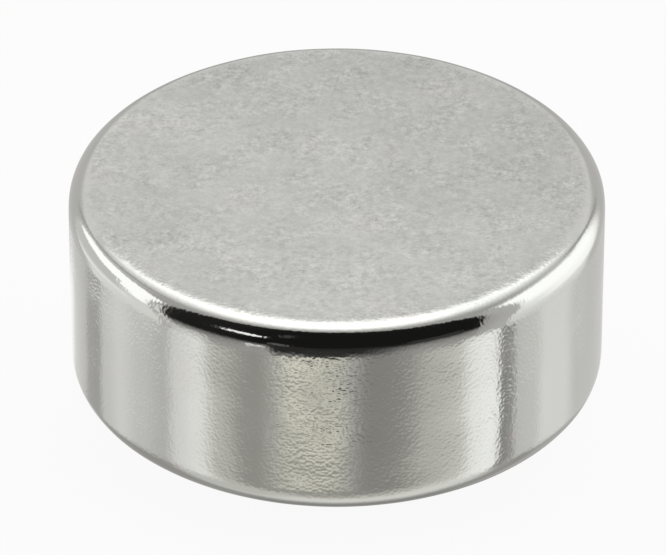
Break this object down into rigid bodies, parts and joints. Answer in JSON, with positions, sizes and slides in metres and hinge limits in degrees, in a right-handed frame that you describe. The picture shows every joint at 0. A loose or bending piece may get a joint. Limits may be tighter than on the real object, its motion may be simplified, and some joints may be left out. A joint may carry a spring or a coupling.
{
  "type": "disc magnet",
  "caption": "Solid round disc magnet with rounded edges on both pole faces and a bright nickel plating, for holding, closing or sensing.",
  "frame": {"origin": "centre of the lower pole face, which the disc rests on", "axes": "+Z along the disc's axis, from the lower pole face to the upper one, which is also the direction it is magnetised in; X and Y lie in the lower pole face, and the disc looks the same however it is turned about Z"},
  "size_m": [0.02, 0.02, 0.008],
  "materials": {
    "nickel_plate": "bright nickel plating over a tumbled sintered surface, with a fine orange peel"
  },
  "bodies": {
    "root": {"magnet_disc": "nickel_plate"}
  },
  "joints": []
}
